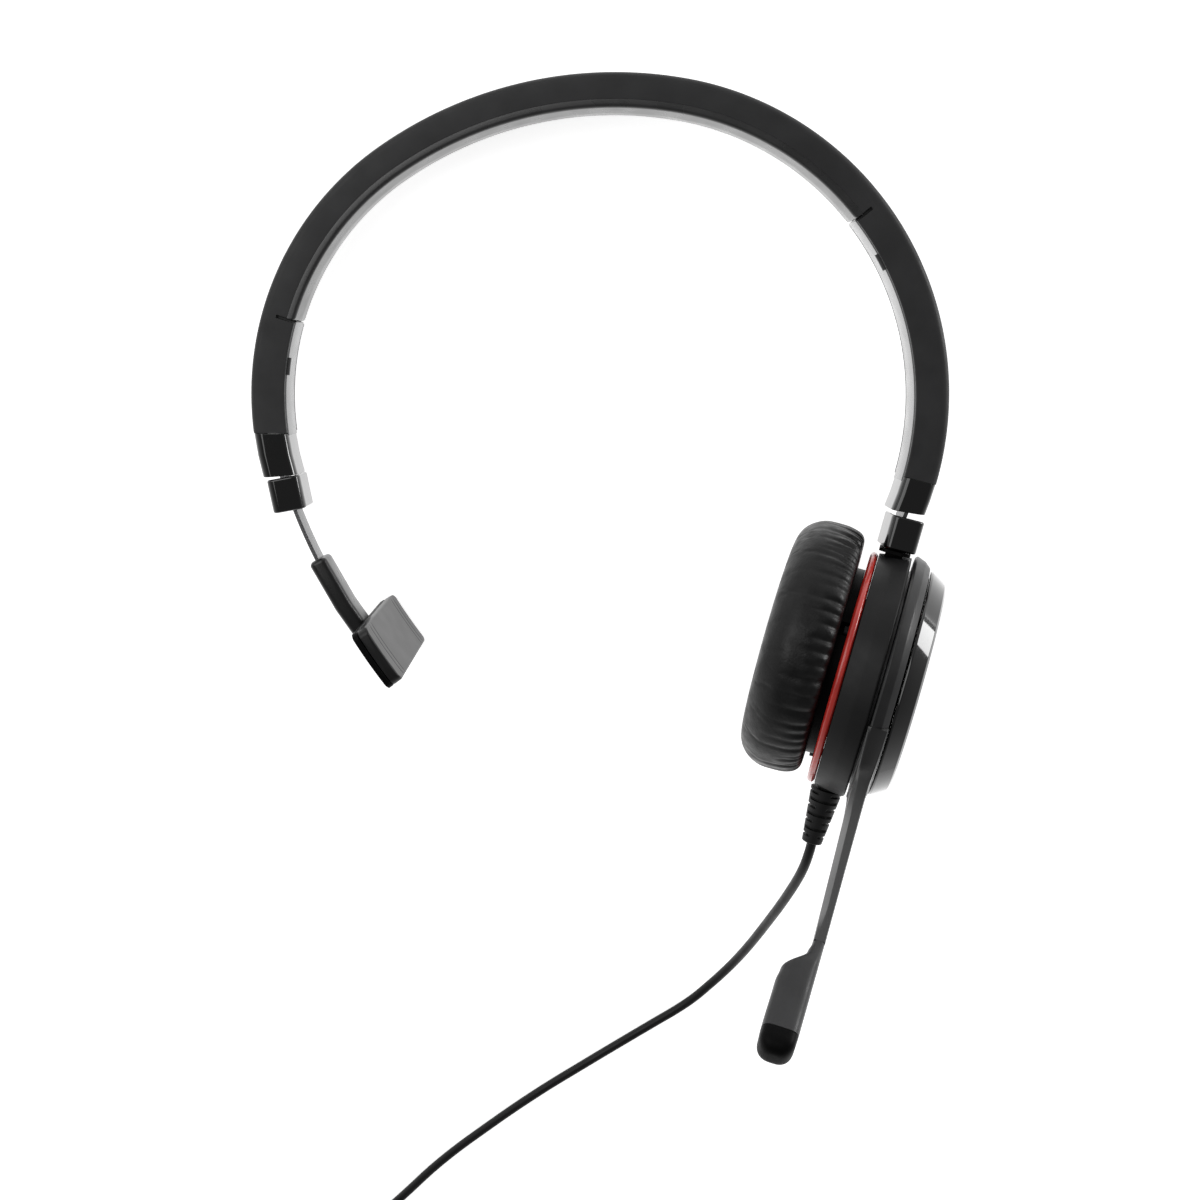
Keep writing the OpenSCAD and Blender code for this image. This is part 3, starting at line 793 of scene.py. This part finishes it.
def rest_half_width(z):
    """Half the rest's width at a height, with its round corners."""
    into_corner = abs(z) - (REST_L / 2 - REST_CORNER_R)
    if into_corner <= 0:
        return REST_W / 2
    return REST_W / 2 - REST_CORNER_R + math.sqrt(max(0.0, REST_CORNER_R ** 2 - into_corner ** 2))


def rest_slab(low, high, fillet, relief):
    """Curved slab between two heights, with soft edges and a relief across its face."""
    rings = []
    end = REST_L / 2 - 0.02
    rows = 150
    columns = 26
    edge = 1.2
    zs = {-end + fillet * (1 - math.cos(math.pi / 2 * k / 6)) for k in range(7)}
    zs |= {-end + fillet + (end - fillet) * k / rows for k in range(rows + 1)}
    zs |= {-z for z in zs}
    for z in sorted(zs):
        half = rest_half_width(z)
        top = []
        under = []
        for k in range(columns + 1):
            x = -half * math.cos(math.pi * k / columns)
            off_edge = min(half - abs(x), end - abs(z), fillet)
            drop = fillet - math.sqrt(max(0.0, fillet ** 2 - (fillet - off_edge) ** 2))
            share = min(1.0, (half - abs(x)) / edge)
            y = high - drop + relief(z) * share
            top.append(rest_point(x, y, z))
            under.append(rest_point(x, low + drop * 0.4, z))
        rings.append(top + under[::-1])
    return skin(rings)


def rest_point(x, y, z):
    """Wraps the flat slab about a line along its length."""
    a = x / REST_CURVE_R
    r = REST_CURVE_R - y
    return (r * math.sin(a), REST_CURVE_R - r * math.cos(a), z)


def grip_grooves(z):
    """Two shallow grooves across each end of the pad's face."""
    depth = 0.09
    half = 0.7
    for groove in (18.5, 21.5):
        off = abs(abs(z) - groove) / half
        if off < 1:
            return -depth * (0.5 + 0.5 * math.cos(math.pi * off))
    return 0.0


def add_temple_pad():
    """Grooved rubber pad and the plate that carries it."""
    points, faces = rest_slab(-0.5, 2.0, 0.5, grip_grooves)
    pad = new_piece("temple_cushion", points, faces, "pad_rubber", REST_FRAME)
    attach(pad, "temple")
    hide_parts("temple_pad")
    points, faces = rest_slab(-2.1, -0.62, 0.35, lambda z: 0.0)
    plate = new_piece("temple_carrier", points, faces, "black_plastic", REST_FRAME)
    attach(plate, "temple")
    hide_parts("temple_plate")


add_temple_strip()
add_temple_sleeve()
add_temple_pad()

# ------------------------------------------------------------------ ear cup

# The flat on the housing under the swivel neck, and where the housing's outer wall ends.
NECK_FLAT_Y = 30.5
NECK_HALF_Z = 7.0
WALL_END_X = 9.0


def add_turned(name, node, body, corners, slot):
    """A piece turned about the cup's axis, from (x, radius, corner radius) corners."""
    points, faces = turned(rounded_path(corners), 160)
    piece = new_piece(name, points, faces, slot, CUP)
    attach(piece, body)
    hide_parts(node)


def add_housing():
    """Housing wall, with a flat under the swivel neck."""
    profile = rounded_path([
        (1.1, 28.5, 0.2), (1.1, 30.0, 0.25), (4.9, 30.85, 8), (8.7, 31.3, 0.5), (9.1, 30.9, 0.3),
        (9.1, 24.7, 0.2), (14.2, 24.7, 0.2), (14.2, 23.2, 0.2), (7.6, 23.2, 0.2), (7.6, 29.6, 0.4),
    ])
    points, faces = turned(profile, 240)
    flat = []
    for x, y, z in points:
        if y > NECK_FLAT_Y and abs(z) < NECK_HALF_Z and x < WALL_END_X:
            y = NECK_FLAT_Y
        flat.append((x, y, z))
    housing = new_piece("cup_housing", flat, faces, "housing_grey", CUP)
    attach(housing, "ear_cup")
    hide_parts("housing_shell")


def add_cup():
    """Housing, red ring, the boom's collar and the outer cap with its round groove."""
    add_housing()
    add_turned("accent_band", "accent_ring", "ear_cup", [
        (-1, 27.2, 0.2), (-1, 29.3, 0.9), (-0.45, 30.0, 0.6), (0.45, 30.0, 0.6), (1, 29.3, 0.9),
        (1, 27.2, 0.2),
    ], "accent_red")
    add_turned("boom_collar", "boom_ring", "boom", [
        (9.9, 25.0, 0.2), (9.9, 31.3, 0.35), (10.4, 31.8, 0.3), (12.6, 31.0, 1.0),
        (14.1, 29.7, 0.35), (14.1, 25.0, 0.2),
    ], "boom_ring_grey")
    add_turned("cup_cap", "outer_cap", "ear_cup", [
        (17.8, 0.01, 0), (19.0, 0.01, 0), (19.0, 11.8, 0.3), (18.75, 12.1, 0.2), (18.75, 12.5, 0.2),
        (19.05, 12.8, 0.3), (19.3, 23.0, 6), (19.1, 25.8, 0.9), (18.6, 26.9, 0.5), (15.1, 29.1, 0.4),
        (14.5, 29.0, 0.3), (14.5, 27.4, 0.2), (17.8, 25.2, 0.3),
    ], "gloss_black")


add_cup()

# ------------------------------------------------------------------ ear cushion

CUSHION_R = 31.3
CUSHION_HOLE_R = 13.0
CUSHION_BACK = -3.15
CUSHION_FACE = -19.2
CUSHION_SHIFT = 2.5


def evenly(outline, count):
    """The same closed outline with count points, evenly spaced along it."""
    ends = outline[1:] + outline[:1]
    lengths = [math.dist(a, b) for a, b in zip(outline, ends)]
    step = sum(lengths) / count
    out = []
    walked = 0.0
    for (x0, y0), (x1, y1), length in zip(outline, ends, lengths):
        while len(out) * step < walked + length - 1e-9 and len(out) < count:
            t = (len(out) * step - walked) / length
            out.append((x0 + (x1 - x0) * t, y0 + (y1 - y0) * t))
        walked += length
    return out


def gathers():
    """Creases where the cover is gathered behind: (angle, depth, half width, share of the wall).

    They lie closer together near the stem and near the cord.
    """
    dice = random.Random(4)
    creases = []
    a = 0.0
    while a < TAU - 0.05:
        crowded = 0.65 if abs(math.cos(a)) > 0.75 else 1.0
        creases.append((a, dice.uniform(0.35, 0.85), dice.uniform(0.55, 0.95), dice.uniform(0.45, 0.9)))
        a += dice.uniform(2.6, 4.4) * crowded / CUSHION_R
    return creases


def cushion_points(around, section):
    """Rings of the cushion's cover with its gathers, in the cup's frame, in millimetres."""
    outline = evenly(rounded_path([
        (CUSHION_BACK, CUSHION_HOLE_R, 3.0), (CUSHION_BACK, CUSHION_R, 2.6),
        (CUSHION_FACE, CUSHION_R, 8.0), (CUSHION_FACE, CUSHION_HOLE_R, 6.0),
    ], 12), section)
    creases = gathers()
    outer_wall_r = 24
    rings = []
    for i in range(around):
        t = TAU * i / around
        near = [c for c in creases if abs((c[0] - t + math.pi) % TAU - math.pi) * CUSHION_R < 3 * c[2]]
        ring = []
        for x, r in outline:
            share = (CUSHION_BACK - x) / (CUSHION_BACK - CUSHION_FACE)
            outside = smooth((r - outer_wall_r) / 5)
            fall = 0.0
            for angle, depth, half, reach in near:
                off = ((t - angle + math.pi) % TAU - math.pi) * CUSHION_R / half
                fall += depth * math.exp(-off * off) * (1 - smooth(share / reach))
            r -= fall * outside
            ring.append((x, r * math.cos(t) + CUSHION_SHIFT, r * math.sin(t)))
        rings.append(ring)
    return rings


def inflate(piece, held, cap):
    """Fills a cover by cloth simulation. Held points stay, and no other moves further than the cap."""
    scene = bpy.context.scene
    frames = 20
    rest = [v.co.copy() for v in piece.data.vertices]
    group = piece.vertex_groups.new(name="held")
    group.add(held, 1.0, "REPLACE")
    modifier = piece.modifiers.new("fill", "CLOTH")
    settings = modifier.settings
    settings.quality = 5
    settings.mass = 0.3
    settings.tension_stiffness = 12
    settings.compression_stiffness = 12
    settings.shear_stiffness = 4
    settings.bending_stiffness = 0.4
    settings.use_pressure = True
    settings.uniform_pressure_force = 4.0
    settings.shrink_min = -0.03
    settings.vertex_group_mass = "held"
    settings.effector_weights.gravity = 0
    modifier.collision_settings.use_collision = False
    modifier.point_cache.frame_start = 1
    modifier.point_cache.frame_end = frames
    for number in range(1, frames + 1):
        scene.frame_set(number)
    filled = piece.evaluated_get(bpy.context.evaluated_depsgraph_get()).data
    moved = []
    for start, vertex in zip(rest, filled.vertices):
        step = vertex.co - start
        if step.length > cap:
            step *= cap / step.length
        moved.append(start + step)
    piece.modifiers.clear()
    piece.vertex_groups.clear()
    scene.frame_set(1)
    for vertex, co in zip(piece.data.vertices, moved):
        vertex.co = co


def add_ear_cushion():
    """Leatherette cushion, gathered behind, filled by cloth simulation and sewn round its hole.

    The cover is enlarged for the simulation, because cloth this small is too stiff.
    """
    rings = cushion_points(400, 56)
    points, faces = skin(rings, looped=True)
    size = 20.0
    enlarge = Matrix.Scale(size * MM, 4)
    cushion = new_piece("ear_cushion_cover", points, faces, "leatherette", enlarge, 180)
    shape = bmesh.new()
    shape.from_mesh(cushion.data)
    bmesh.ops.recalc_face_normals(shape, faces=shape.faces)
    shape.to_mesh(cushion.data)
    shape.free()
    held = [i for i, p in enumerate(points) if p[0] > CUSHION_BACK - 0.5]
    inflate(cushion, held, 0.9 * size * MM)
    mesh = cushion.data
    seam_r = CUSHION_HOLE_R + 3.4
    seam_half = 0.45
    seam_depth = 0.5
    for vertex in mesh.vertices:
        x, y, z = vertex.co / (size * MM)
        off = (math.hypot(y - CUSHION_SHIFT, z) - seam_r) / seam_half
        if x < -12:
            x += seam_depth * math.exp(-off * off)
        vertex.co = (x, y, z)
    mesh.transform(CUP)
    finer = cushion.modifiers.new("finer", "SUBSURF")
    finer.levels = 1
    finer.render_levels = 1
    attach(cushion, "ear_cup")
    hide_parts("ear_cushion")


def add_speaker_cloth():
    """Cloth stretched over the speaker, crowned a little."""
    r = 11.4
    crown = 0.7
    centre_y = 2
    profile = [(-4.1, 0.01), (-4.1, r - 0.3), (-4.3, r)]
    for k in range(13):
        at = r * (1 - k / 12)
        profile.append((-4.45 - crown * (1 - (at / r) ** 2), max(at, 0.01)))
    points, faces = turned(profile, 96)
    screen = new_piece("speaker_screen", points, faces, "speaker_mesh",
                       CUP @ Matrix.Translation((0, centre_y, 0)))
    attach(screen, "ear_cup")
    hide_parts("speaker_cloth")


add_ear_cushion()
add_speaker_cloth()


def add_strain_relief():
    """Tapered strain relief with slots that leave a pair of webs, turned from rib to rib.

    Its end covers the first millimetre of the cord.
    """
    pitch = 1.9
    first_slot = 0.9
    slot_share = 0.19
    slot_depth = 0.75
    web_half_a = 24
    root_r = 4.05
    taper = 1.45
    start = RELIEF_START
    end = RELIEF_END + 1.0
    around = 32
    steps = 160
    rings = []
    for i in range(steps + 1):
        y = start + (end - start) * i / steps
        outer = root_r - taper * (y - start) / (end - start)
        along = (y - start - first_slot) / pitch
        plain_end = y - start < 0.7 or end - y < 0.8
        in_slot = abs(along - round(along)) < slot_share and not plain_end
        quarter = 0 if round(along) % 2 else 90
        ring = []
        for k in range(around):
            a = 360 * k / around
            web = abs((a - quarter + 90) % 180 - 90) < web_half_a
            r = outer - slot_depth if in_slot and not web else outer
            ring.append((RELIEF_X + r * math.cos(math.radians(a)), -y, r * math.sin(math.radians(a))))
        rings.append(ring)
    neck = [(3.5, 27.4), (3.5, 28.4), (2.3, 28.5), (2.3, 31.3)]
    nose = [(2.3, RELIEF_END + 1.2), (1.4, RELIEF_END + 1.25)]
    for pairs, keep in ((neck, True), (nose, False)):
        more = [[(RELIEF_X + r * math.cos(TAU * k / around), -y, r * math.sin(TAU * k / around))
                 for k in range(around)] for r, y in pairs]
        rings = more + rings if keep else rings + more
    points, faces = skin(rings)
    relief = new_piece("strain_relief_boot", points, faces, "cord_rubber", CUP)
    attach(relief, "ear_cup")
    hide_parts("strain_relief")
    return relief


RELIEF = add_strain_relief()

# ------------------------------------------------------------------ boom

# (distance from the cup's axis, x) along the inner and outer sides of the arm and of the head,
# and half the head's width.
BOOM_INNER = [(28, 9.5), (38, 9.75), (MIC_ROOT, 10.2)]
BOOM_OUTER = [(31.6, 14.1), (38, 13.4), (MIC_ROOT, 12.8)]
HEAD_INNER = [(MIC_ROOT, 10.2), (83.8, 9.5), (89.6, 4.9), (92.5, 4.5), (103, 4.3), (108, 4.4)]
HEAD_OUTER = [(MIC_ROOT, 12.8), (103, 12.35), (108, 12.15)]
HEAD_HALF = [(MIC_ROOT, 2.72), (87.5, 4.3), (110, 4.3)]


def between(table, x):
    """Smooth curve through (x, value) pairs."""
    for (x0, v0), (x1, v1) in zip(table, table[1:]):
        if x <= x1:
            return v0 + (v1 - v0) * smooth((x - x0) / (x1 - x0)) if x > x0 else v0
    return table[-1][1]


def straight(table, x):
    """Straight lines through (x, value) pairs."""
    for (x0, v0), (x1, v1) in zip(table, table[1:]):
        if x <= x1:
            return v0 + (v1 - v0) * max(0.0, (x - x0) / (x1 - x0))
    return table[-1][1]


def superellipse(x0, x1, half, power, count=40):
    """Rounded box outline between x0 and x1, as (x, z) points."""
    middle = (x0 + x1) / 2
    wide = (x1 - x0) / 2
    out = []
    for k in range(count):
        t = TAU * k / count
        c = math.cos(t)
        s = math.sin(t)
        x = middle + wide * math.copysign(abs(c) ** (2 / power), c)
        z = half * math.copysign(abs(s) ** (2 / power), s)
        out.append((x, z))
    return out


def boom_half(reach):
    """Half the arm's width: it flares into the ring."""
    out = reach - BOOM_RING_R + 0.2
    return 2.6 + 2.6 * math.exp(-out / 16) + 9.1 * math.exp(-out / 3.6)


def boom_outline(reach):
    """The arm's outline, as (x, z), with its inner edges bevelled along the middle stretch."""
    x0 = straight(BOOM_INNER, reach)
    x1 = straight(BOOM_OUTER, reach)
    half = boom_half(reach)
    bevel = smooth((reach - 36) / 12) * smooth((MIC_ROOT - reach) / 10)
    waist = x0 + 0.75 + 0.55 * bevel
    low = half * (1 - 0.85 * bevel)
    waist_r = 0.7 - 0.4 * bevel
    return rounded_path([
        (x1, half, 0.3), (waist, half, waist_r), (x0, low, 0.5), (x0, -low, 0.5),
        (waist, -half, waist_r), (x1, -half, 0.3),
    ], 6)


def add_boom_arm():
    """Flexible arm. Its root wraps the ring, and its tip meets the microphone."""
    rings = []
    first = BOOM_RING_R - 0.2
    length = MIC_ROOT - first
    wrap_l = 12
    steps = 70
    for i in range(steps + 1):
        reach = first + length * i / steps
        wrap = 1 - smooth((reach - first) / wrap_l)
        ring = []
        for x, z in boom_outline(reach):
            sag = BOOM_RING_R - math.sqrt(max(0.0, BOOM_RING_R ** 2 - z * z))
            ring.append((x, -(reach - wrap * sag), z))
        rings.append(ring)
    arm = skin(rings)
    saddle_rings = []
    half_a = 27
    lift = 0.45
    for k in range(-20, 21):
        a = half_a * k / 20
        grow = lift * math.sqrt(max(0.0, 1 - abs(k / 20) ** 6))
        outer = BOOM_RING_R - 0.05 + grow
        outline = rounded_path([
            (9.5, 30.6, 0.2), (9.5, outer - 0.2, 0.3), (10.3, outer, 0.3), (12.7, outer - 0.6, 0.5),
            (14.3, outer - 1.9, 0.3), (14.3, 29.2, 0.2), (13, 29.2, 0.1),
        ], 3)
        t = math.radians(a)
        saddle_rings.append([(x, -r * math.cos(t), r * math.sin(t)) for x, r in outline])
    points, faces = merged([arm, skin(saddle_rings)])
    piece = new_piece("boom_stalk", points, faces, "boom_rubber", BOOM)
    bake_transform(piece)
    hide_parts("boom_arm")


def head_ring(reach, shrink=0.0, power=4.0):
    """Ring of the microphone head at a distance from the cup's axis, shrunk on all sides."""
    outline = superellipse(between(HEAD_INNER, reach) + shrink, straight(HEAD_OUTER, reach) - shrink,
                           between(HEAD_HALF, reach) - shrink, power, 48)
    return [(x, -reach, z) for x, z in outline]


def add_microphone():
    """Microphone head and its round black tip. The head is less shiny than the arm. Its rubber is a lighter copy
    of the arm's, with a painted sheen in its base colour in place of the reflection the arm's coat gives.
    """
    seam = BOOM_L - TIP_L
    steps = 60
    rings = []
    for i in range(steps + 1):
        reach = MIC_ROOT + (seam - MIC_ROOT) * i / steps
        rings.append(head_ring(reach))
    rings.append(head_ring(seam + 0.05, 0.15))
    points, faces = skin(rings)
    head = new_piece("microphone_head", points, faces, "boom_rubber", BOOM)
    # The head takes the lighter copy of the arm's rubber, whose base colour holds a painted sheen.
    head.data.materials[0] = MATERIALS["head_rubber_painted_sheen"]
    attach(head, "mic")
    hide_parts("mic_housing")
    rings = [head_ring(seam + 0.12, 0.25), head_ring(seam + 0.2, 0.05)]
    round_r = 3.4
    flat = BOOM_L - round_r
    rings += [head_ring(seam + 0.2 + (flat - seam - 0.2) * k / 6, 0.02) for k in range(1, 7)]
    for k in range(1, 11):
        t = math.pi / 2 * k / 10
        ring = head_ring(flat, round_r * 0.86 * (1 - math.cos(t)) + 0.02, 4 - 1.2 * k / 10)
        rings.append([(x, -(flat + round_r * math.sin(t)), z) for x, _, z in ring])
    points, faces = skin(rings)
    tip = new_piece("microphone_tip", points, faces, "black_plastic", BOOM)
    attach(tip, "mic")
    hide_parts("mic_tip")


add_boom_arm()
add_microphone()
add_cord()

# ------------------------------------------------------------------ stage


def add_floor():
    """Pale floor that glows a little, so that the shade on it stays faint. Its side is in metres."""
    made, base = shader("stage", (0.93, 0.93, 0.93), 0.9, specular=0.1)
    base.inputs["Emission Color"].default_value = (1, 1, 1, 1)
    base.inputs["Emission Strength"].default_value = 0.72
    half = 3.0
    mesh = bpy.data.meshes.new("floor")
    mesh.from_pydata([(-half, -half, 0), (half, -half, 0), (half, half, 0), (-half, half, 0)],
                     [], [(0, 1, 2, 3)])
    mesh.materials.append(made)
    floor = bpy.data.objects.new("floor", mesh)
    bpy.context.scene.collection.objects.link(floor)


def add_room():
    """White room with a grey ceiling, so that faces that look up stay dark."""
    world = bpy.data.worlds.new("room")
    world.use_nodes = True
    tree = world.node_tree
    background = tree.nodes["Background"]
    background.inputs["Strength"].default_value = 0.95
    coordinates = tree.nodes.new("ShaderNodeTexCoord")
    split = tree.nodes.new("ShaderNodeSeparateXYZ")
    ramp = tree.nodes.new("ShaderNodeValToRGB")
    stops = ((0.1, 1.0), (0.8, 0.22))
    for element, (height, tone) in zip(ramp.color_ramp.elements, stops):
        element.position = height
        element.color = (tone, tone, tone, 1)
    tree.links.new(coordinates.outputs["Generated"], split.inputs["Vector"])
    tree.links.new(split.outputs["Z"], ramp.inputs["Fac"])
    tree.links.new(ramp.outputs["Color"], background.inputs["Color"])
    bpy.context.scene.world = world


def soft_box(name, at, side, power):
    """Square area light that faces the origin, in metres and watts."""
    data = bpy.data.lights.new(name, "AREA")
    data.size = side
    data.energy = power
    light = bpy.data.objects.new(name, data)
    light.location = at
    light.rotation_euler = (-Vector(at)).to_track_quat("-Z", "Y").to_euler()
    bpy.context.scene.collection.objects.link(light)


add_floor()
add_room()
soft_box("key", (-0.5, 0.45, 0.75), 0.7, 3.2)
soft_box("rim", (0.92, 0.36, 0.24), 0.34, 4.5)
bpy.context.scene.view_settings.view_transform = "Standard"
